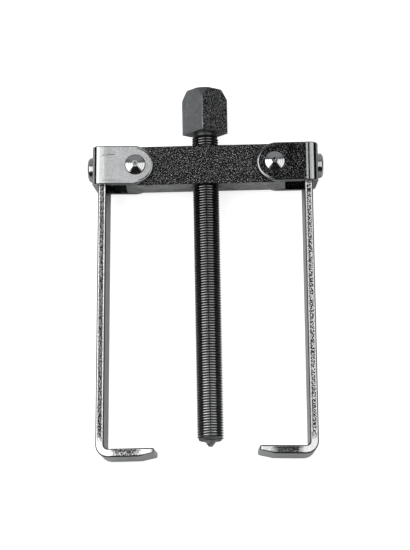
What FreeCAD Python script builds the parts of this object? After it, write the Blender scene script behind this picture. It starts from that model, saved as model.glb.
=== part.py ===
"""Two-arm gear puller, lying on its back: crossbar, forcing screw and two hooked arms on clevises.

Frame: +X to the tool's right, +Y towards the screw's head, +Z up off the bench.
Each side is modelled as the right-hand one, in a frame whose origin is its pivot, and the left is its mirror.
"""

import FreeCAD, Part
import math
import os

V = FreeCAD.Vector
X_AXIS, Y_AXIS, Z_AXIS = V(1, 0, 0), V(0, 1, 0), V(0, 0, 1)
NEAR = 1e-3  # two places closer than this count as the same

# Crossbar: a solid block, tapped through its middle
BAR_LENGTH = 77.3
BAR_HEIGHT = 19.3
BAR_DEPTH = 15.5
BAR_EDGE = 0.6
PIVOT_X = 33.8
RUNNING_CLEARANCE = 0.05
BORE_COUNTERSINK = 0.9

# Forcing screw: 1/2 inch by 20 turns an inch, with a 5/8 inch square head
THREAD_MAJOR_R = 6.35
SCREW_END_Y = -134.3
SCREW_END_CHAMFER = 1.0
NECK_R = 5.6
NECK_LENGTH = 1.5
HEAD_BASE_Y = 17.1
HEAD_LENGTH = 21.7
HEAD_ACROSS_FLATS = 15.875
HEAD_CORNER_R = 0.4
HEAD_TURN_DEG = 41.0
HEAD_TOP_R = 8.75
HEAD_CUT_LENGTH = 5.0

# Centre point: a short cone on a stem that turns freely in the end of the screw
POINT_BASE_R = 3.1
POINT_TIP_R = 1.0
POINT_LENGTH = 2.8
STEM_R = 2.5
STEM_LENGTH = 8.0
WAIST_R = 2.0
WAIST_LENGTH = 1.6
POINT_END_PLAY = 0.1

# Clevis: a strip bent to a U, with its web turned a little about the tool's length
SHEET = 2.8
CLEVIS_HEIGHT = 19.1
CLEVIS_GAP = 16.0
WEB_X = 54.05 - PIVOT_X
WEB_TURN_DEG = 5.7
TAB_END_CENTRE = 0.9
BEND_OUTER_R = 4.0
BEND_INNER_R = BEND_OUTER_R - SHEET
CLEVIS_EDGE = 0.6

# Pivot pin: conical front head, low domed rear head
PIN_R = 3.0
PIN_HEAD_R = 5.0
PIN_RIM = 0.3
PIN_SHOULDER_R = 4.7
PIN_SHOULDER = 0.35
PIN_CONE = 1.6
PIN_TOP_R = 1.45
PIN_DIMPLE_R = 0.9
PIN_DIMPLE_DEPTH = 0.6
PIN_REAR_HEAD = 1.9

# Arm: a strap bent inwards to a hooked foot
STRAP_WIDTH = 15.0
STRAP_THICKNESS = 4.1
STRAP_EDGE = 0.7
STRAP_OFFSET_Z = -0.35
STRAP_TOP_Y = 8.3
STRAP_TOP_CORNER_R = 2.9
HEEL_OUTER_R = 6.3
HEEL_INNER_R = 2.3
FOOT_BASE_Y = -142.9
FOOT_THICKNESS = 4.1
FOOT_LENGTH = 28.2
FOOT_RISE_DEG = 0.5
TIP_TAPER_LENGTH = 7.3
TIP_THICKNESS = 2.6
TIP_CORNER_R = 1.5

# Arm rivet: through the web and the strap
RIVET_R = 3.1
RIVET_HEAD_R = 6.0
RIVET_HEAD = 2.85
RIVET_RIM = 1.0
RIVET_CROWN_R = 4.45
RIVET_INNER_HEAD_R = 4.8
RIVET_INNER_HEAD = 1.45

# Rest pose of the arms, outwards from parallel to the screw
ARM_OPEN_DEG = {"left": 1.2, "right": -0.1}

STRAP_OUTER_X = WEB_X - SHEET
STRAP_INNER_X = STRAP_OUTER_X - STRAP_THICKNESS
CLEVIS_HALF_DEPTH = CLEVIS_GAP / 2 + SHEET


def polygon(points, plane):
    """Closed face through points given as pairs in the XY or XZ plane."""
    place = {"XY": lambda a, b: V(a, b, 0), "XZ": lambda a, b: V(a, 0, b)}[plane]
    corners = [place(a, b) for a, b in points]
    return Part.Face(Part.makePolygon(corners + corners[:1]))


def revolve(points, axis):
    """Solid of revolution about X, Y or Z from (radius, distance along the axis) pairs."""
    place = {
        "X": lambda r, d: V(d, r, 0),
        "Y": lambda r, d: V(r, d, 0),
        "Z": lambda r, d: V(r, 0, d),
    }[axis]
    corners = [place(r, d) for r, d in points]
    face = Part.Face(Part.makePolygon(corners + corners[:1]))
    return face.revolve(V(0, 0, 0), {"X": X_AXIS, "Y": Y_AXIS, "Z": Z_AXIS}[axis], 360)


def dome(radius, rim, crown_radius, crown):
    """Low round head about +X on x = 0: a short rim, then one arc that meets the flat crown smoothly."""
    rim_edge, crown_edge = V(rim, radius, 0), V(crown, crown_radius, 0)
    chord = crown_edge - rim_edge
    meeting_angle = math.atan2(chord.x, -chord.y)
    sagitta = chord.Length / 2 * math.tan(meeting_angle / 2)
    middle = (rim_edge + crown_edge) * 0.5 + V(-chord.y, chord.x, 0).normalize() * sagitta
    edges = [
        Part.makeLine(V(0, 0, 0), V(0, radius, 0)),
        Part.makeLine(V(0, radius, 0), rim_edge),
        Part.Arc(rim_edge, middle, crown_edge).toShape(),
        Part.makeLine(crown_edge, V(crown, 0, 0)),
        Part.makeLine(V(crown, 0, 0), V(0, 0, 0)),
    ]
    return Part.Face(Part.Wire(edges)).revolve(V(0, 0, 0), X_AXIS, 360)


def edges_along(shape, direction, at=lambda centre: True):
    """Straight edges of a shape that run along a direction and whose middles pass a test."""
    found = []
    for edge in shape.Edges:
        if not isinstance(edge.Curve, (Part.Line, Part.LineSegment)):
            continue
        line = edge.Vertexes[-1].Point - edge.Vertexes[0].Point
        if line.Length > 1e-6 and abs(line.normalize().dot(direction)) > 0.999 and at(edge.CenterOfMass):
            found.append(edge)
    return found


def crossbar():
    corner = V(-BAR_LENGTH / 2, -BAR_HEIGHT / 2, -BAR_DEPTH / 2)
    block = Part.makeBox(BAR_LENGTH, BAR_HEIGHT, BAR_DEPTH, corner)
    block = block.makeFillet(BAR_EDGE, block.Edges)
    bore_r = THREAD_MAJOR_R + RUNNING_CLEARANCE
    half = BAR_HEIGHT / 2
    mouth_r = bore_r + BORE_COUNTERSINK
    block = block.cut(revolve(
        [(0, -half), (mouth_r, -half), (bore_r, BORE_COUNTERSINK - half),
         (bore_r, half - BORE_COUNTERSINK), (mouth_r, half), (0, half)], "Y"))
    for x in (-PIVOT_X, PIVOT_X):
        pin_bore = Part.makeCylinder(PIN_R + RUNNING_CLEARANCE, BAR_DEPTH, V(x, 0, -BAR_DEPTH / 2), Z_AXIS)
        block = block.cut(pin_bore)
    return block


def screw_head():
    side = HEAD_ACROSS_FLATS
    head = Part.makeBox(side, HEAD_LENGTH, side, V(-side / 2, HEAD_BASE_Y, -side / 2))
    head = head.makeFillet(HEAD_CORNER_R, edges_along(head, Y_AXIS))
    corner_r = side / math.sqrt(2)
    spread = (corner_r - HEAD_TOP_R) / HEAD_CUT_LENGTH * HEAD_LENGTH
    cone = Part.makeCone(HEAD_TOP_R + spread, HEAD_TOP_R, HEAD_LENGTH, V(0, HEAD_BASE_Y, 0), Y_AXIS)
    head = head.common(cone)
    head.rotate(V(0, 0, 0), Y_AXIS, HEAD_TURN_DEG)
    return head


def forcing_screw():
    shank_top = HEAD_BASE_Y - NECK_LENGTH
    shank = revolve(
        [(0, SCREW_END_Y), (THREAD_MAJOR_R - SCREW_END_CHAMFER, SCREW_END_Y),
         (THREAD_MAJOR_R, SCREW_END_Y + SCREW_END_CHAMFER), (THREAD_MAJOR_R, shank_top),
         (NECK_R, shank_top), (NECK_R, HEAD_BASE_Y), (0, HEAD_BASE_Y)], "Y")
    mouth_r = WAIST_R + RUNNING_CLEARANCE
    socket_r = STEM_R + RUNNING_CLEARANCE
    step = SCREW_END_Y + WAIST_LENGTH - POINT_END_PLAY
    bottom = SCREW_END_Y + STEM_LENGTH + POINT_END_PLAY
    socket = revolve(
        [(0, SCREW_END_Y), (mouth_r, SCREW_END_Y), (mouth_r, step),
         (socket_r, step), (socket_r, bottom), (0, bottom)], "Y")
    return shank.fuse(screw_head()).removeSplitter().cut(socket)


def centre_point():
    seat = SCREW_END_Y - POINT_END_PLAY
    return revolve(
        [(0, seat - POINT_LENGTH), (POINT_TIP_R, seat - POINT_LENGTH), (POINT_BASE_R, seat),
         (WAIST_R, seat), (WAIST_R, SCREW_END_Y + WAIST_LENGTH), (STEM_R, SCREW_END_Y + WAIST_LENGTH),
         (STEM_R, SCREW_END_Y + STEM_LENGTH), (0, SCREW_END_Y + STEM_LENGTH)], "Y")


def turn_with_web(shape):
    """Turns a shape about the tool's length, from square to the bar to square to the web."""
    shape.rotate(V(WEB_X, 0, 0), Y_AXIS, WEB_TURN_DEG)
    return shape


def u_prism(inset, radius, end_x):
    """The U's outline, inset from its outer faces, as a prism as high as the clevis."""
    half_depth = CLEVIS_HALF_DEPTH - inset
    slope = math.tan(math.radians(WEB_TURN_DEG))
    web_x = WEB_X - inset / math.cos(math.radians(WEB_TURN_DEG))
    outline = polygon(
        [(end_x, -half_depth), (web_x - slope * half_depth, -half_depth),
         (web_x + slope * half_depth, half_depth), (end_x, half_depth)], "XZ")
    prism = outline.extrude(V(0, CLEVIS_HEIGHT, 0))
    prism.translate(V(0, -CLEVIS_HEIGHT / 2, 0))
    return prism.makeFillet(radius, edges_along(prism, Y_AXIS, lambda c: c.x > WEB_X / 2))


def clevis():
    end_r = CLEVIS_HEIGHT / 2
    shell = u_prism(0, BEND_OUTER_R, -end_r).cut(u_prism(SHEET, BEND_INNER_R, -2 * end_r))
    length = WEB_X + CLEVIS_HALF_DEPTH
    side_view = Part.makeBox(
        length, CLEVIS_HEIGHT, 2 * CLEVIS_HALF_DEPTH, V(TAB_END_CENTRE, -end_r, -CLEVIS_HALF_DEPTH))
    rounded_end = Part.makeCylinder(
        end_r, 2 * CLEVIS_HALF_DEPTH, V(TAB_END_CENTRE, 0, -CLEVIS_HALF_DEPTH), Z_AXIS)
    body = shell.common(side_view.fuse(rounded_end)).removeSplitter()
    outer = [e for e in body.Edges if on_outer_face(e)]
    body = body.makeFillet(CLEVIS_EDGE, outer)
    pin_hole = Part.makeCylinder(
        PIN_R + RUNNING_CLEARANCE, 2 * CLEVIS_HALF_DEPTH, V(0, 0, -CLEVIS_HALF_DEPTH), Z_AXIS)
    rivet_hole = Part.makeCylinder(RIVET_R + RUNNING_CLEARANCE, 4 * SHEET, V(WEB_X - 2 * SHEET, 0, 0), X_AXIS)
    return body.cut(pin_hole).cut(turn_with_web(rivet_hole))


def on_outer_face(edge):
    """True for the outline of the strip's outer side: its top, bottom and rounded ends."""
    middle = edge.valueAt((edge.FirstParameter + edge.LastParameter) / 2)
    along_height = abs(middle.y) < CLEVIS_HEIGHT / 2 - NEAR and middle.x > TAB_END_CENTRE
    if along_height:
        return False
    slope = math.tan(math.radians(WEB_TURN_DEG))
    on_tab = abs(abs(middle.z) - CLEVIS_HALF_DEPTH) < NEAR
    on_web = abs(middle.x - WEB_X - slope * middle.z) < NEAR
    in_bend = isinstance(edge.Curve, Part.Circle) and abs(edge.Curve.Radius - BEND_OUTER_R) < NEAR
    return on_tab or on_web or in_bend


def side_outline():
    """The arm seen along its width: strap, heel, foot and tapered tip, as one closed wire."""
    rise = math.tan(math.radians(FOOT_RISE_DEG))
    tip_x = STRAP_OUTER_X - FOOT_LENGTH
    taper_x = tip_x + TIP_TAPER_LENGTH

    def foot_y(x, lift):
        return FOOT_BASE_Y + lift + (STRAP_OUTER_X - x) * rise

    points = [
        (STRAP_OUTER_X, STRAP_TOP_Y), (STRAP_OUTER_X, foot_y(STRAP_OUTER_X, 0)),
        (taper_x, foot_y(taper_x, 0)), (tip_x, foot_y(tip_x, FOOT_THICKNESS - TIP_THICKNESS)),
        (tip_x, foot_y(tip_x, FOOT_THICKNESS)), (STRAP_INNER_X, foot_y(STRAP_INNER_X, FOOT_THICKNESS)),
        (STRAP_INNER_X, STRAP_TOP_Y)]
    return polygon(points, "XY")


def arm():
    body = side_outline().extrude(V(0, 0, STRAP_WIDTH))
    body.translate(V(0, 0, -STRAP_WIDTH / 2))
    near_foot = STRAP_TOP_Y + FOOT_BASE_Y
    heel = edges_along(body, Z_AXIS, lambda c: c.x > STRAP_OUTER_X - 0.1 and c.y < near_foot)
    body = body.makeFillet(HEEL_OUTER_R, heel)
    crook = edges_along(body, Z_AXIS, lambda c: abs(c.x - STRAP_INNER_X) < 0.1 and c.y < 0)
    body = body.makeFillet(HEEL_INNER_R, crook)
    top = edges_along(body, X_AXIS, lambda c: c.y > STRAP_TOP_Y - 0.1)
    body = body.makeFillet(STRAP_TOP_CORNER_R, top)
    tip_x = STRAP_OUTER_X - FOOT_LENGTH
    tip = edges_along(body, Y_AXIS, lambda c: c.x < tip_x + 0.1)
    body = body.makeFillet(TIP_CORNER_R, tip)
    body = body.makeFillet(STRAP_EDGE, sheared_edges(body))
    body.translate(V(0, 0, STRAP_OFFSET_Z))
    hole = Part.makeCylinder(
        RIVET_R + RUNNING_CLEARANCE, 4 * STRAP_THICKNESS, V(STRAP_INNER_X - STRAP_THICKNESS, 0, 0), X_AXIS)
    return turn_with_web(body.cut(hole))


def sheared_edges(body):
    """The long edges of the strap's two narrow sides, from the rounded top to the tip."""
    found = []
    for edge in body.Edges:
        middle = edge.valueAt((edge.FirstParameter + edge.LastParameter) / 2)
        on_side = abs(abs(middle.z) - STRAP_WIDTH / 2) < NEAR
        in_plane = abs(edge.tangentAt(edge.FirstParameter).z) < NEAR
        if on_side and in_plane and middle.y < STRAP_TOP_Y - NEAR:
            found.append(edge)
    return found


def arm_rivet():
    """Domed outer head, shank through web and strap, and an inner head that seats on the strap."""
    head = dome(RIVET_HEAD_R, RIVET_RIM, RIVET_CROWN_R, RIVET_HEAD)
    head.translate(V(WEB_X, 0, 0))
    shank = Part.makeCylinder(RIVET_R, WEB_X - STRAP_INNER_X, V(STRAP_INNER_X, 0, 0), X_AXIS)
    inner = dome(RIVET_INNER_HEAD_R, RIVET_INNER_HEAD / 2, RIVET_R, RIVET_INNER_HEAD)
    inner.rotate(V(0, 0, 0), Z_AXIS, 180)
    inner.translate(V(STRAP_INNER_X, 0, 0))
    return turn_with_web(head.fuse([shank, inner]).removeSplitter())


def pivot_pin():
    half = CLEVIS_HALF_DEPTH
    rim_z = half + PIN_RIM
    shoulder_z = rim_z + PIN_SHOULDER
    top_z = shoulder_z + PIN_CONE
    front = revolve(
        [(0, -half), (PIN_R, -half), (PIN_R, half), (PIN_HEAD_R, half), (PIN_HEAD_R, rim_z),
         (PIN_SHOULDER_R, shoulder_z), (PIN_TOP_R, top_z), (PIN_DIMPLE_R, top_z),
         (0, top_z - PIN_DIMPLE_DEPTH)], "Z")
    rear = dome(PIN_HEAD_R, PIN_REAR_HEAD / 3, PIN_HEAD_R / 2, PIN_REAR_HEAD)
    rear.rotate(V(0, 0, 0), Y_AXIS, 90)
    rear.translate(V(0, 0, -half))
    return front.fuse(rear).removeSplitter()


def place_side(shape, side):
    """Opens a right-hand piece about its pivot, moves it to the bar's end and mirrors it for the left."""
    placed = shape.copy()
    placed.rotate(V(0, 0, 0), Z_AXIS, ARM_OPEN_DEG[side])
    placed.translate(V(PIVOT_X, 0, 0))
    return placed.mirror(V(0, 0, 0), X_AXIS) if side == "left" else placed


def build():
    """All pieces by node name, about the middle of the crossbar."""
    nodes = {
        "crossbar": crossbar(),
        "forcing_screw": forcing_screw(),
        "centre_point": centre_point(),
    }
    pieces = {"clevis": clevis(), "arm": arm(), "pivot_pin": pivot_pin(), "arm_rivet": arm_rivet()}
    for side in ARM_OPEN_DEG:
        for name, piece in pieces.items():
            nodes[f"{side}_{name}"] = place_side(piece, side)
    return nodes


def origin_of(nodes):
    """Middle of the whole tool's length, under the screw's axis, on the bench it lies on."""
    box = Part.makeCompound(list(nodes.values())).optimalBoundingBox(False, True)
    return V(0, round((box.YMin + box.YMax) / 2, 3), -(CLEVIS_HALF_DEPTH + PIN_REAR_HEAD))


nodes = build()
origin = origin_of(nodes)
os.makedirs("parts", exist_ok=True)
for name, shape in nodes.items():
    shape.translate(-origin)
    shape.exportStep(f"parts/{name}.step")
print("crossbar's middle is at", -origin)
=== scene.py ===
"""Gear puller on a pale studio floor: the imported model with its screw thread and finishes."""
import math

import bmesh
import bpy
from mathutils import Matrix, Vector

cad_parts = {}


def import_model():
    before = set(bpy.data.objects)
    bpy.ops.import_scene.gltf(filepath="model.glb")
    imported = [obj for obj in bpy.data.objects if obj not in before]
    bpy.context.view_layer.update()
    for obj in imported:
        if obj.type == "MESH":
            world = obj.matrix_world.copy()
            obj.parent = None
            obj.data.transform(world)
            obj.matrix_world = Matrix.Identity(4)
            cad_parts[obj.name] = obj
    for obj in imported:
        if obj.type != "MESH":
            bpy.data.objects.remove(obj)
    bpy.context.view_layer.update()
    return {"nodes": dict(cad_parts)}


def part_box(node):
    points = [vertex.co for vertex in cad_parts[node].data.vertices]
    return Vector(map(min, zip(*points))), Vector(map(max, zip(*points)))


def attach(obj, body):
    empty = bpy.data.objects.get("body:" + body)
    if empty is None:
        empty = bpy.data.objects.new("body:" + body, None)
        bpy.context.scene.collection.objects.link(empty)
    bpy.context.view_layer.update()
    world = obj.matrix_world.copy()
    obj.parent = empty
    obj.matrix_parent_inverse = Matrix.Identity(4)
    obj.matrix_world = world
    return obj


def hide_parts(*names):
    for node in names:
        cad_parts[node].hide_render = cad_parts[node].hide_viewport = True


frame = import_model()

MM = 0.001

# Places worked out from the frame
BAR_LOW, BAR_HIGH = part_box("crossbar")
BAR_MIDDLE = (BAR_LOW + BAR_HIGH) / 2
SCREW_LOW, SCREW_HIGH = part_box("forcing_screw")
PIN_LOW, PIN_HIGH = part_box("right_pivot_pin")
PIN_PLACE = (PIN_LOW + PIN_HIGH) / 2

# Forcing screw, as it is drawn in the frame
PITCH = 1.27 * MM
MAJOR_R = 6.35 * MM
ROOT_R = 5.2 * MM
CREST_FLAT = 0.12
ROOT_FLAT = 0.1
END_FACE_R = 5.35 * MM
NECK_R = 5.6 * MM
NECK_LENGTH = 1.5 * MM
HEAD_LENGTH = 21.7 * MM
HEAD_ACROSS_FLATS = 15.875 * MM
HEAD_CORNER_R = 0.4 * MM
HEAD_TURN = math.radians(41)
HEAD_TOP_R = 8.75 * MM
HEAD_CUT_LENGTH = 5.0 * MM
SOCKET_R = 2.05 * MM
SOCKET_DEPTH = 1.5 * MM
HEAD_BASE_Y = SCREW_HIGH.y - HEAD_LENGTH
TURN_STEPS = 56
HALF_SIDE_STEPS = 8
CORNER_STEPS = 5
SAME_POINT = 0.002 * MM
SMOOTH_BELOW = math.radians(28)

# Camera: looks down at the tool from a little past its feet, through a long lens
VIEW_TILT = math.radians(12.8)
VIEW_TURN = math.radians(1.6)
VIEW_ROLL = math.radians(-1.03)
VIEW_DISTANCE = 1.488
VIEW_HEIGHT = 0.2658
SENSOR = 36.0
AIM_FROM_BAR = Vector((-1.25, -53.2, 0)) * MM

# Arms and clevises: angles, and places in millimetres from the pivots
ARM_OPEN = {"left": math.radians(1.2), "right": math.radians(-0.1)}
ARM_TWIST = math.radians(5.7)
STRAP_MIDDLE = 15.4
FOOT_MIDDLE = -140.85
FOOT_REACH = 26.1
BEND_MIDDLE_R = 4.3
# Painted light and shade: the torn stripe is lighter on the right strap and the left foot, darker on the left
# strap and the right foot.
TEAR_LIGHT_AND_SHADE = {"left": (0.28, 0.5), "right": (0.85, 0.22)}  # how light the torn stripe is, on strap and foot
HALF_STRAP = 2.05
TAB_LINE = {"left": 14.9, "right": 16.3}  # press line across each tab
# The dark ring around each pivot pin's head is painted shade.
HEAD_BRIGHT_R = 4.6  # bright cone of a pin's head, inside its dark rim

# Turning marks, in millimetres
RING_SPACING = 0.9
POINT_RING_SPACING = 0.3

# Studio: softboxes at both sides, from (X, Z) to (X, Z), each with its radiance, and dark straight above
SOFTBOX_Y = (-0.28, 0.4)
SOFTBOXES = {
    "left_top_softbox": ((-0.045, 0.9), (-0.34, 0.84), 1.35),
    "left_softbox": ((-0.34, 0.84), (-0.72, 0.46), 2.4),
    "right_top_softbox": ((0.14, 0.9), (0.4, 0.8), 1.1),
    "right_softbox": ((0.4, 0.8), (0.72, 0.46), 1.4),
}

# Floor, with grey cards on it from (X, Y) to (X, Y)
FLOOR_HALF = 3
CARDS = {
    "left_card": ((-0.32, -0.3), (0.14, 0.35)),
    "right_card": ((0.14, -0.3), (0.32, 0.07)),
    "rear_card": ((0.14, 0.16), (0.32, 0.35)),
}
CARD_LIFT = 0.00005
CARD_GREY = 0.8
FLOOR_GREY = 0.9
FLOOR_GLOW = 0.75
BACKDROP_R = 8
BACKDROP_GLOW = 0.85


# Small helpers for materials

class Graph:
    """A node tree with short ways to add nodes and links."""

    def __init__(self, tree):
        self.tree = tree
        tree.nodes.clear()

    def add(self, kind, inputs=None, **settings):
        node = self.tree.nodes.new(kind)
        for key, value in settings.items():
            setattr(node, key, value)
        for key, value in (inputs or {}).items():
            self.feed(node.inputs[key], value)
        return node

    def feed(self, socket, value):
        """Links a socket to another, or sets its value, where a colour may come without its alpha."""
        if isinstance(value, bpy.types.NodeSocket):
            self.tree.links.new(value, socket)
        elif isinstance(value, tuple) and len(value) == 3 and socket.type == "RGBA":
            socket.default_value = (*value, 1)
        else:
            socket.default_value = value

    def math(self, operation, a, b=0.0):
        node = self.add("ShaderNodeMath", operation=operation)
        self.feed(node.inputs[0], a)
        self.feed(node.inputs[1], b)
        return node.outputs[0]

    def plus(self, a, b):
        return self.math("ADD", a, b)

    def minus(self, a, b):
        return self.math("SUBTRACT", a, b)

    def times(self, a, b):
        return self.math("MULTIPLY", a, b)

    def larger(self, a, b):
        return self.math("MAXIMUM", a, b)

    def hypotenuse(self, a, b):
        return self.math("SQRT", self.plus(self.math("POWER", a, 2.0), self.math("POWER", b, 2.0)))

    def wave(self, value, spacing):
        """A sine wave whose crests are spacing apart."""
        return self.math("SINE", self.times(value, 2 * math.pi / spacing))

    def split(self, vector):
        """The X, Y and Z of a vector."""
        parts = self.add("ShaderNodeSeparateXYZ", {"Vector": vector})
        return parts.outputs["X"], parts.outputs["Y"], parts.outputs["Z"]

    def millimetres(self):
        """Object coordinates in millimetres."""
        place = self.add("ShaderNodeTexCoord").outputs["Object"]
        return self.add("ShaderNodeMapping", {"Vector": place, "Scale": (1 / MM,) * 3}).outputs["Vector"]

    def noise(self, size, detail=2.0, roughness=0.5):
        """Noise whose features are about size millimetres across, from 0 to 1."""
        inputs = {
            "Vector": self.millimetres(), "Scale": 1 / size, "Detail": detail,
            "Roughness": roughness, "Distortion": 0.0}
        return self.add("ShaderNodeTexNoise", inputs).outputs["Fac"]

    def remap(self, value, low, high, to_low=0.0, to_high=1.0, shape="LINEAR"):
        inputs = {"Value": value, "From Min": low, "From Max": high, "To Min": to_low, "To Max": to_high}
        return self.add("ShaderNodeMapRange", inputs, interpolation_type=shape).outputs["Result"]

    def band(self, value, middle, half_width):
        """1 at the middle of a band of values, falling to 0 at its edges."""
        off = self.math("ABSOLUTE", self.minus(value, middle))
        return self.remap(off, 0.0, half_width, 1.0, 0.0)

    def mix_color(self, fac, a, b):
        node = self.add("ShaderNodeMix", data_type="RGBA")
        self.feed(node.inputs[0], fac)
        self.feed(node.inputs[6], a)
        self.feed(node.inputs[7], b)
        return node.outputs[2]

    def bump(self, height, depth_mm):
        inputs = {"Height": height, "Distance": depth_mm * MM, "Strength": 1.0}
        return self.add("ShaderNodeBump", inputs).outputs["Normal"]


def material(name):
    made = bpy.data.materials.new(name)
    made.use_nodes = True
    graph = Graph(made.node_tree)
    shader = graph.add("ShaderNodeBsdfPrincipled")
    output = graph.add("ShaderNodeOutputMaterial")
    graph.feed(output.inputs["Surface"], shader.outputs["BSDF"])
    return made, graph, shader


def steel(shader, tint, edge_tint):
    """Bare metal: tint is its plain colour, which a graph may vary, and edge_tint dims it at a low angle."""
    shader.inputs["Metallic"].default_value = 1.0
    shader.inputs["Specular Tint"].default_value = (*edge_tint, 1)
    shader.inputs["Base Color"].default_value = (*tint, 1)


def facing(g, axis):
    """How far a face is turned towards an axis of the tool, from -1 to 1."""
    normal = g.add("ShaderNodeTexCoord").outputs["Normal"]
    return g.add("ShaderNodeSeparateXYZ", {"Vector": normal}).outputs[axis]


def facing_up(g, low, high):
    """1 on faces square to the tool's flat side, 0 on the others."""
    return g.remap(g.math("ABSOLUTE", facing(g, "Z")), low, high)


def from_pivot(g):
    """Millimetres from the pivot on either side of the tool: outwards, upwards and straight."""
    x, y, _ = g.split(g.millimetres())
    outward = g.minus(g.math("ABSOLUTE", x), PIN_PLACE.x / MM)
    upward = g.minus(y, PIN_PLACE.y / MM)
    return outward, upward, g.hypotenuse(outward, upward)


def from_strap_middle(g, open_angle):
    """Millimetres on one arm: outside the line along its middle, beyond its bend and from its tip.

    The last value is 1 on the foot and 0 on the strap.
    """
    across, along, _ = from_pivot(g)
    _, _, z = g.split(g.millimetres())
    depth = g.minus(z, BAR_MIDDLE.z / MM)
    cos, sin = math.cos(open_angle), math.sin(open_angle)
    outward = g.plus(g.times(across, cos), g.times(along, sin))
    outward = g.minus(outward, g.times(depth, math.tan(ARM_TWIST)))
    upward = g.minus(g.times(along, cos), g.times(across, sin))
    past_x = g.minus(outward, STRAP_MIDDLE - BEND_MIDDLE_R)
    past_y = g.minus(FOOT_MIDDLE + BEND_MIDDLE_R, upward)
    from_corner = g.hypotenuse(g.larger(past_x, 0.0), g.larger(past_y, 0.0))
    outside = g.minus(from_corner, BEND_MIDDLE_R)
    beyond_bend = g.larger(g.times(past_x, -1.0), g.times(past_y, -1.0))
    from_tip = g.minus(outward, STRAP_MIDDLE - FOOT_REACH)
    on_foot = g.remap(upward, FOOT_MIDDLE + 3, FOOT_MIDDLE + 9, 1.0, 0.0)
    return outside, beyond_bend, from_tip, on_foot


# Materials

def hammered_black(name):
    """Black coating over a rough face: close dimples, with bright flecks where their rims are rubbed bare."""
    made, g, shader = material(name)
    steel(shader, (0.03, 0.03, 0.03), (1, 1, 1))
    rough_side = facing_up(g, 0.5, 0.8)
    dimples = g.noise(0.85, 2.0, 0.5)
    grit = g.noise(0.5, 3.0, 0.65)
    flecks = g.times(g.remap(grit, 0.56, 0.62), rough_side)
    cloud = g.noise(6.0, 3.0, 0.55)
    side = g.mix_color(g.remap(cloud, 0.35, 0.65), (0.24, 0.243, 0.247), (0.44, 0.443, 0.447))
    coat = g.mix_color(rough_side, side, (0.014, 0.014, 0.014))
    g.feed(shader.inputs["Base Color"], g.mix_color(flecks, coat, (0.55, 0.55, 0.555)))
    g.feed(shader.inputs["Roughness"], g.remap(dimples, 0.3, 0.7, 0.18, 0.34))
    g.feed(shader.inputs["Normal"], g.bump(g.times(g.plus(dimples, grit), rough_side), 0.3))
    return made


def black_steel(name):
    """Black-oxide steel: the head's left faces are painted lighter, as painted light, and its right faces
    darker under light specks, as painted shade; the crests are rubbed.
    """
    made, g, shader = material(name)
    steel(shader, (0.1, 0.1, 0.1), (0.7, 0.7, 0.7))
    cloud = g.noise(3.0, 4.0, 0.6)
    grit = g.noise(0.7, 2.0, 0.55)
    x, y, z = g.split(g.add("ShaderNodeTexCoord").outputs["Object"])
    radius = g.hypotenuse(x, g.minus(z, BAR_MIDDLE.z))
    on_head = g.remap(y, HEAD_BASE_Y - 0.2 * MM, HEAD_BASE_Y)
    crest = g.remap(radius, MAJOR_R - 0.25 * MM, MAJOR_R - 0.05 * MM)

    # The thread's colours are lighter towards the tip and darker towards the bar.
    towards_tip = g.remap(y, SCREW_LOW.y, BAR_LOW.y, 1.0, 0.0)
    rubbed = g.times(crest, g.remap(cloud, 0.3, 0.6, 0.5, 1.0))
    dark = g.mix_color(towards_tip, (0.12, 0.121, 0.122), (0.25, 0.252, 0.254))
    bright = g.mix_color(towards_tip, (0.38, 0.384, 0.388), (0.85, 0.855, 0.86))
    thread = g.mix_color(rubbed, dark, bright)

    # Painted light: the head's faces turned towards -X get this lighter tone, as if lit.
    satin_lit_left = g.mix_color(g.remap(cloud, 0.35, 0.65), (0.3, 0.315, 0.325), (0.4, 0.415, 0.425))
    spots = g.remap(g.noise(1.6, 2.0, 0.6), 0.66, 0.7)
    dull = g.larger(spots, g.remap(facing(g, "Y"), 0.2, 0.3))
    satin_lit_left = g.mix_color(dull, satin_lit_left, (0.22, 0.228, 0.235))
    specks = g.remap(g.noise(0.55, 1.0), 0.5, 0.6)
    # Painted shade: the head's faces turned towards +X get this near-black ground under light specks.
    speckled_shaded_right = g.mix_color(specks, (0.04, 0.041, 0.043), (0.46, 0.465, 0.47))
    head = g.mix_color(g.remap(facing(g, "X"), 0.2, 0.4), satin_lit_left, speckled_shaded_right)

    g.feed(shader.inputs["Base Color"], g.mix_color(on_head, thread, head))
    finish = g.remap(g.larger(crest, on_head), 0.0, 1.0, 0.42, 0.08)
    g.feed(shader.inputs["Roughness"], g.plus(finish, g.times(on_head, 0.24)))
    grain = g.times(grit, g.plus(g.times(on_head, 2.2), 0.25))
    g.feed(shader.inputs["Normal"], g.bump(grain, 0.1))
    return made


def bare_point(name):
    """Turned steel of the centre point, a little darkened by oil."""
    made, g, shader = material(name)
    steel(shader, (0.3, 0.303, 0.306), (0.8, 0.8, 0.8))
    _, y, _ = g.split(g.millimetres())
    oil = g.noise(1.2, 3.0, 0.55)
    tint = g.mix_color(g.remap(oil, 0.4, 0.6), (0.25, 0.252, 0.255), (0.65, 0.654, 0.66))
    g.feed(shader.inputs["Base Color"], tint)
    g.feed(shader.inputs["Roughness"], g.remap(oil, 0.3, 0.7, 0.3, 0.45))
    g.feed(shader.inputs["Normal"], g.bump(g.wave(y, POINT_RING_SPACING), 0.02))
    return made


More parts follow.
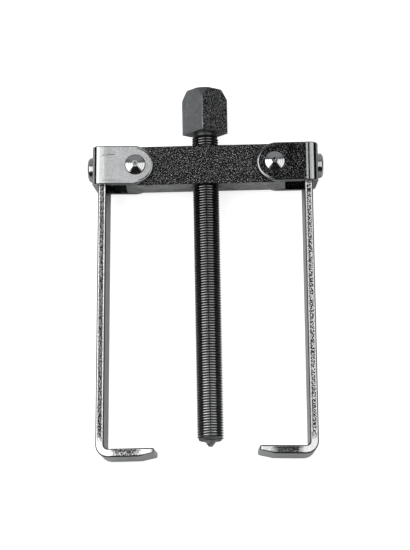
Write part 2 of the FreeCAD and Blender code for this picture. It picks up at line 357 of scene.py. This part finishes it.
def plated_sheet(name):
    """Bright plating over pressed sheet: a press line beside each bend, tool marks, pits and a coined end;
    past the press line the bend is painted lighter on the left clevis, as painted light, than on the right,
    as painted shade.
    """
    made, g, shader = material(name)
    steel(shader, (0.45, 0.455, 0.46), (0.75, 0.75, 0.75))
    outward, upward, distance = from_pivot(g)
    x, _, _ = g.split(g.millimetres())
    past_line = g.minus(outward, g.remap(x, -1.0, 1.0, TAB_LINE["left"], TAB_LINE["right"]))
    cloud = g.noise(5.0, 3.0, 0.55)
    mottle = g.noise(0.5, 3.0, 0.6)
    pitted = g.remap(g.noise(4.0, 2.0), 0.35, 0.65, 0.2, 1.0)
    pits = g.times(g.remap(g.noise(0.45, 2.0, 0.6), 0.61, 0.67), pitted)
    wavering = g.plus(upward, g.remap(g.noise(2.5), 0.3, 0.7, -0.25, 0.25))
    near_bend = g.remap(g.band(outward, 12.8, 3.4), 0.0, 0.15)
    marks = g.larger(g.band(wavering, 5.3, 0.35), g.band(wavering, -7.5, 0.35))
    marks = g.times(g.times(marks, near_bend), facing_up(g, 0.9, 0.97))

    flat = g.mix_color(g.remap(cloud, 0.35, 0.65), (0.39, 0.395, 0.4), (0.48, 0.485, 0.49))
    flat = g.mix_color(g.remap(mottle, 0.35, 0.65, 0.0, 0.7), flat, (0.26, 0.265, 0.27))
    # Painted light and shade: the bend is lighter on the left clevis than on the right.
    bend = g.mix_color(g.remap(x, -1.0, 1.0), (0.6, 0.605, 0.61), (0.4, 0.405, 0.41))
    bend = g.mix_color(g.remap(mottle, 0.4, 0.6, 0.0, 0.25), bend, (0.25, 0.25, 0.25))
    light = g.mix_color(g.remap(past_line, -0.2, 0.4), flat, bend)
    g.feed(shader.inputs["Base Color"], g.mix_color(marks, light, (0.25, 0.25, 0.25)))
    shine = g.remap(cloud, 0.3, 0.7, 0.045, 0.07)
    g.feed(shader.inputs["Roughness"], g.plus(shine, g.times(pits, 0.25)))

    height = g.remap(past_line, -1.2, 0.0, 0.0, -0.1, "SMOOTHSTEP")
    ripple = g.times(g.wave(distance, 1.1), g.remap(distance, 5.0, 9.0, 0.003, 0.0))
    coined = g.times(
        g.remap(distance, 7.7, 8.3, 0.0, -0.06, "SMOOTHSTEP"),
        g.remap(outward, -5.0, 2.0, 1.0, 0.0, "SMOOTHSTEP"))
    for relief in (ripple, g.times(marks, -0.02), coined, g.times(mottle, 0.005), g.times(pits, -0.013)):
        height = g.plus(height, relief)
    g.feed(shader.inputs["Normal"], g.bump(height, 1.0))
    return made


def plated_strap(name, open_angle, strap_tear_light_shade, foot_tear_light_shade):
    """Bright plating over strap with sheared narrow sides: a torn dark stripe runs along their middle, its
    lightness per arm painted as light and shade; dark lines of painted shade run along the stripe's inner
    side and along the rounded edges, darkest on the inner side.
    """
    made, g, shader = material(name)
    steel(shader, (0.42, 0.425, 0.43), (1, 1, 1))
    outside, beyond_bend, from_tip, on_foot = from_strap_middle(g, open_angle)
    from_line = g.math("ABSOLUTE", outside)
    sheared = facing_up(g, 0.95, 0.985)
    tears = g.noise(0.7, 3.0, 0.65)
    wander = g.minus(g.times(g.minus(tears, 0.5), 1.2), g.times(on_foot, 0.4))
    stripe = g.remap(g.plus(from_line, wander), 0.9, 1.15, 1.0, 0.0)
    stripe = g.times(stripe, g.remap(beyond_bend, 0.5, 4.0))
    stripe = g.times(stripe, g.remap(from_tip, 5.0, 9.0))
    torn = g.times(stripe, sheared)

    cloud = g.noise(4.0, 3.0, 0.5)
    fine = g.noise(0.65, 1.0)
    light = g.mix_color(g.remap(cloud, 0.35, 0.65), (0.45, 0.455, 0.46), (0.55, 0.555, 0.56))
    bright = g.times(sheared, g.remap(fine, 0.3, 0.5, 0.6, 1.0))
    light = g.mix_color(bright, light, (0.85, 0.855, 0.86))
    # Painted light and shade: the torn stripe's lightness is set per arm, for strap and foot.
    tear_light_shade = g.mix_color(on_foot, (strap_tear_light_shade,) * 3, (foot_tear_light_shade,) * 3)
    dark = g.mix_color(g.remap(fine, 0.48, 0.56), (0.02, 0.02, 0.02), tear_light_shade)
    # Painted shade: a dark line along the inner side of the torn stripe.
    inner_painted_shade = g.times(g.times(g.remap(outside, -0.75, -0.45, 1.0, 0.0), torn), 0.8)
    face = g.mix_color(inner_painted_shade, g.mix_color(torn, light, dark), (0.03, 0.03, 0.03))

    # Painted shade: dark lines along the rounded edges, darker on the inner edge than the outer, stand in for
    # the edges' dark reflections.
    dark_from = g.remap(outside, -1.0, 1.0, HALF_STRAP - 0.55, HALF_STRAP - 0.75)
    edge = g.remap(g.minus(from_line, dark_from), 0.0, 0.2)
    edge = g.times(edge, facing_up(g, 0.15, 0.25))
    edge_painted_shade = g.mix_color(g.remap(outside, -1.0, 1.0), (0.03, 0.03, 0.03), (0.11, 0.11, 0.11))
    g.feed(shader.inputs["Base Color"], g.mix_color(edge, face, edge_painted_shade))
    shine = g.remap(cloud, 0.3, 0.7, 0.14, 0.22)
    g.feed(shader.inputs["Roughness"], g.plus(shine, g.times(torn, 0.06)))
    height = g.plus(g.times(fine, 0.2), g.times(torn, tears))
    g.feed(shader.inputs["Normal"], g.bump(height, 0.15))
    return made


def turned_steel(name):
    """Bright rivet steel, with the fine rings of the tool that turned the pin heads, and a dark ring of
    painted shade where each pivot pin's head meets the sheet.
    """
    made, g, shader = material(name)
    steel(shader, (0.6, 0.605, 0.61), (0.8, 0.8, 0.8))
    _, _, distance = from_pivot(g)
    rings = g.wave(distance, RING_SPACING)
    cloud = g.noise(1.5, 3.0, 0.5)
    # Painted shade: a dark ring between the bright cone and the outer edge of each pivot pin's head, where it
    # meets the sheet.
    painted_shade_ring = g.remap(distance, HEAD_BRIGHT_R, HEAD_BRIGHT_R + 0.15)
    painted_shade_ring = g.times(painted_shade_ring, g.remap(distance, 5.2, 5.3, 1.0, 0.0))
    turned = g.mix_color(g.remap(rings, 0.0, 1.0, 0.0, 0.5), (0.62, 0.625, 0.63), (0.2, 0.2, 0.2))
    g.feed(shader.inputs["Base Color"], g.mix_color(painted_shade_ring, turned, (0.08, 0.08, 0.08)))
    g.feed(shader.inputs["Roughness"], g.remap(cloud, 0.3, 0.7, 0.08, 0.2))
    g.feed(shader.inputs["Normal"], g.bump(rings, 0.004))
    return made


# Forcing screw

def thread_outline():
    """(distance along the axis as a share of the pitch, radius) for one turn of the thread."""
    crest = ROOT_FLAT + (1 - CREST_FLAT - ROOT_FLAT) / 2
    return [(0, ROOT_R), (ROOT_FLAT, ROOT_R), (crest, MAJOR_R), (crest + CREST_FLAT, MAJOR_R)]


def limit(y, radius, end_y, neck_y):
    """Keeps a thread point inside the chamfered end and below the neck."""
    if y >= neck_y:
        return neck_y, NECK_R
    if y <= end_y:
        return end_y, END_FACE_R
    return y, min(radius, END_FACE_R + y - end_y, NECK_R + neck_y - y)


def add_thread(mesh, end_y, neck_y):
    """One continuous helical surface from the chamfered end up to the neck."""
    outline = thread_outline()
    start = end_y - PITCH
    columns = math.ceil((neck_y - start) / PITCH + 1) * TURN_STEPS
    rows = []
    for step in range(columns):
        angle = 2 * math.pi * step / TURN_STEPS
        points = []
        for share, radius in outline:
            y, r = limit(start + PITCH * (step / TURN_STEPS + share), radius, end_y, neck_y)
            points.append(mesh.verts.new((r * math.sin(angle), y, r * math.cos(angle))))
        rows.append(points)
    for step in range(columns - 1):
        here, there = rows[step], rows[step + 1]
        for k in range(len(outline) - 1):
            mesh.faces.new((here[k], there[k], there[k + 1], here[k + 1]))
        if step + 1 + TURN_STEPS < columns:
            above, beyond = rows[step + TURN_STEPS], rows[step + 1 + TURN_STEPS]
            mesh.faces.new((here[-1], there[-1], beyond[0], above[0]))


def add_rings(mesh, rings):
    """A surface through round rings given as (y, radius)."""
    loops = []
    for y, radius in rings:
        loops.append([
            mesh.verts.new((radius * math.sin(a), y, radius * math.cos(a)))
            for a in (2 * math.pi * k / TURN_STEPS for k in range(TURN_STEPS))])
    for low, high in zip(loops, loops[1:]):
        for k in range(TURN_STEPS):
            n = (k + 1) % TURN_STEPS
            mesh.faces.new((low[k], low[n], high[n], high[k]))


def head_outline():
    """Points of the head's rounded square, anticlockwise about +Y from +Z."""
    half = HEAD_ACROSS_FLATS / 2
    points = []
    for side in range(4):
        turn = Matrix.Rotation(HEAD_TURN + side * math.pi / 2, 2)
        for k in range(-HALF_SIDE_STEPS, HALF_SIDE_STEPS):
            points.append(turn @ Vector((half, (half - HEAD_CORNER_R) * k / HALF_SIDE_STEPS)))
        for k in range(CORNER_STEPS):
            a = math.pi / 2 * k / CORNER_STEPS
            corner = Vector((half - HEAD_CORNER_R, half - HEAD_CORNER_R))
            points.append(turn @ (corner + HEAD_CORNER_R * Vector((math.cos(a), math.sin(a)))))
    return [Vector((p.y, p.x)) for p in points]


def add_head(mesh):
    """Square head whose corners are cut back by a cone at the far end."""
    top_y = SCREW_HIGH.y
    corner_r = HEAD_ACROSS_FLATS / math.sqrt(2)
    slope = HEAD_CUT_LENGTH / (corner_r - HEAD_TOP_R)
    columns = []
    for p in head_outline():
        radius = p.length
        cut_y = min(top_y, top_y - (radius - HEAD_TOP_R) * slope)
        top = p * min(1, HEAD_TOP_R / radius)
        columns.append([
            mesh.verts.new((p.x, HEAD_BASE_Y, p.y)), mesh.verts.new((p.x, cut_y, p.y)),
            mesh.verts.new((top.x, top_y, top.y))])
    for here, there in zip(columns, columns[1:] + columns[:1]):
        for k in range(2):
            mesh.faces.new((here[k], there[k], there[k + 1], here[k + 1]))
    mesh.faces.new([c[2] for c in columns])
    mesh.faces.new([c[0] for c in columns])


def smooth(mesh):
    """Shades faces smoothly into each other across gentle edges."""
    for face in mesh.faces:
        face.smooth = True
    for edge in mesh.edges:
        edge.smooth = edge.is_manifold and edge.calc_face_angle() < SMOOTH_BELOW


def forcing_screw():
    mesh = bmesh.new()
    neck_y = HEAD_BASE_Y - NECK_LENGTH
    add_thread(mesh, SCREW_LOW.y, neck_y)
    add_rings(mesh, [
        (SCREW_LOW.y + SOCKET_DEPTH, SOCKET_R), (SCREW_LOW.y, SOCKET_R), (SCREW_LOW.y, END_FACE_R)])
    add_rings(mesh, [(neck_y, NECK_R), (HEAD_BASE_Y, NECK_R)])
    add_head(mesh)
    bmesh.ops.remove_doubles(mesh, verts=mesh.verts, dist=SAME_POINT)
    bmesh.ops.dissolve_degenerate(mesh, edges=mesh.edges, dist=SAME_POINT)
    bmesh.ops.recalc_face_normals(mesh, faces=mesh.faces)
    smooth(mesh)
    bmesh.ops.translate(mesh, verts=mesh.verts, vec=(BAR_MIDDLE.x, 0, BAR_MIDDLE.z))
    data = bpy.data.meshes.new("threaded_screw")
    mesh.to_mesh(data)
    mesh.free()
    piece = bpy.data.objects.new("threaded_screw", data)
    bpy.context.scene.collection.objects.link(piece)
    return piece


# Studio

def rectangle(name, low, high, z):
    """A level rectangle between two corners, marked as part of the stage."""
    mesh = bmesh.new()
    corners = [(low[0], low[1]), (high[0], low[1]), (high[0], high[1]), (low[0], high[1])]
    mesh.faces.new([mesh.verts.new((x, y, z)) for x, y in corners])
    data = bpy.data.meshes.new(name)
    mesh.to_mesh(data)
    mesh.free()
    plane = bpy.data.objects.new(name, data)
    bpy.context.scene.collection.objects.link(plane)
    return plane


def matt(name, grey, glow=0.0):
    made, _, shader = material(name)
    shader.inputs["Emission Color"].default_value = (1, 1, 1, 1)
    shader.inputs["Emission Strength"].default_value = glow
    shader.inputs["Base Color"].default_value = (grey, grey, grey, 1)
    shader.inputs["Roughness"].default_value = 0.9
    shader.inputs["Specular IOR Level"].default_value = 0.1
    return made


def floor():
    """A pale floor, and grey cards on it that only show in the metal's reflections."""
    pale = rectangle("floor", (-FLOOR_HALF, -FLOOR_HALF), (FLOOR_HALF, FLOOR_HALF), 0)
    pale.data.materials.append(matt("pale_floor", FLOOR_GREY, FLOOR_GLOW))
    pale.visible_glossy = False
    grey = matt("card_grey", CARD_GREY)
    for name, (low, high) in CARDS.items():
        card = rectangle(name, low, high, CARD_LIFT)
        card.data.materials.append(grey)
        card.visible_camera = False
        card.visible_diffuse = False
        card.visible_shadow = False


def backdrop():
    """A pale dome that only the camera sees."""
    mesh = bmesh.new()
    bmesh.ops.create_icosphere(mesh, subdivisions=4, radius=BACKDROP_R)
    data = bpy.data.meshes.new("backdrop")
    mesh.to_mesh(data)
    mesh.free()
    made = bpy.data.materials.new("pale_backdrop")
    made.use_nodes = True
    g = Graph(made.node_tree)
    glow = g.add("ShaderNodeEmission", {"Color": (1, 1, 1), "Strength": BACKDROP_GLOW})
    g.feed(g.add("ShaderNodeOutputMaterial").inputs["Surface"], glow.outputs["Emission"])
    data.materials.append(made)
    dome = bpy.data.objects.new("backdrop", data)
    bpy.context.scene.collection.objects.link(dome)
    for ray in ("diffuse", "glossy", "transmission", "shadow"):
        setattr(dome, f"visible_{ray}", False)


def softbox(name, start, end, radiance):
    """A soft panel along Y between two points of the XZ plane, facing the tool."""
    lamp = bpy.data.lights.new(name, "AREA")
    lamp.shape = "RECTANGLE"
    span = Vector((end[0] - start[0], 0, end[1] - start[1]))
    lamp.size, lamp.size_y = span.length, SOFTBOX_Y[1] - SOFTBOX_Y[0]
    lamp.energy = radiance * math.pi * lamp.size * lamp.size_y
    box = bpy.data.objects.new(name, lamp)
    bpy.context.scene.collection.objects.link(box)
    middle = Vector(((start[0] + end[0]) / 2, sum(SOFTBOX_Y) / 2, (start[1] + end[1]) / 2))
    across = span.normalized()
    away = across.cross(Vector((0, 1, 0)))
    if away.dot(middle) < 0:
        across, away = -across, -away
    axes = Matrix((across, Vector((0, 1, 0)), away)).transposed().to_4x4()
    box.matrix_world = Matrix.Translation(middle) @ axes
    box.visible_camera = False


def world():
    """Dark overhead, with a soft grey beyond the screw's head and low down beyond the feet."""
    made = bpy.data.worlds.new("studio")
    bpy.context.scene.world = made
    made.use_nodes = True
    g = Graph(made.node_tree)
    _, y, z = g.split(g.add("ShaderNodeTexCoord").outputs["Generated"])
    ends = g.larger(g.remap(y, 0.3, 0.75), g.remap(y, -0.88, -0.96))
    above = g.remap(z, -0.05, 0.05)
    grey = g.mix_color(g.times(ends, above), (0.012, 0.012, 0.012), (0.33, 0.34, 0.35))
    back = g.add("ShaderNodeBackground", {"Color": grey, "Strength": 1.0})
    out = g.add("ShaderNodeOutputWorld")
    g.feed(out.inputs["Surface"], back.outputs["Background"])


def camera():
    lens = bpy.data.cameras.new("camera")
    lens.sensor_width = SENSOR
    lens.lens = SENSOR * VIEW_DISTANCE / VIEW_HEIGHT
    lens.clip_end = 20
    towards = Vector((math.tan(VIEW_TURN), -math.tan(VIEW_TILT), 1)).normalized()
    right = Vector((0, 1, 0)).cross(towards).normalized()
    up = towards.cross(right)
    roll = Matrix.Rotation(VIEW_ROLL, 3, towards)
    axes = Matrix((roll @ right, roll @ up, towards)).transposed().to_4x4()
    eye = bpy.data.objects.new("camera", lens)
    bpy.context.scene.collection.objects.link(eye)
    eye.matrix_world = Matrix.Translation(BAR_MIDDLE + AIM_FROM_BAR + towards * VIEW_DISTANCE) @ axes
    bpy.context.scene.camera = eye


FINISHES = {
    "crossbar": hammered_black("hammered_black"),
    "centre_point": bare_point("bare_point"),
}
sheet = plated_sheet("plated_sheet")
rivet = turned_steel("turned_steel")
for side in ("left", "right"):
    FINISHES[f"{side}_clevis"] = sheet
    FINISHES[f"{side}_arm"] = plated_strap(f"plated_strap_{side}", ARM_OPEN[side], *TEAR_LIGHT_AND_SHADE[side])
    FINISHES[f"{side}_pivot_pin"] = rivet
    FINISHES[f"{side}_arm_rivet"] = rivet

for node, finish in FINISHES.items():
    data = frame["nodes"][node].data
    data.materials.clear()
    data.materials.append(finish)

screw = forcing_screw()
screw.data.materials.append(black_steel("black_steel"))
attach(screw, "forcing_screw")
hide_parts("forcing_screw")

floor()
backdrop()
for name, (start, end, radiance) in SOFTBOXES.items():
    softbox(name, start, end, radiance)
world()
camera()

view = bpy.context.scene.view_settings
view.view_transform = "Standard"
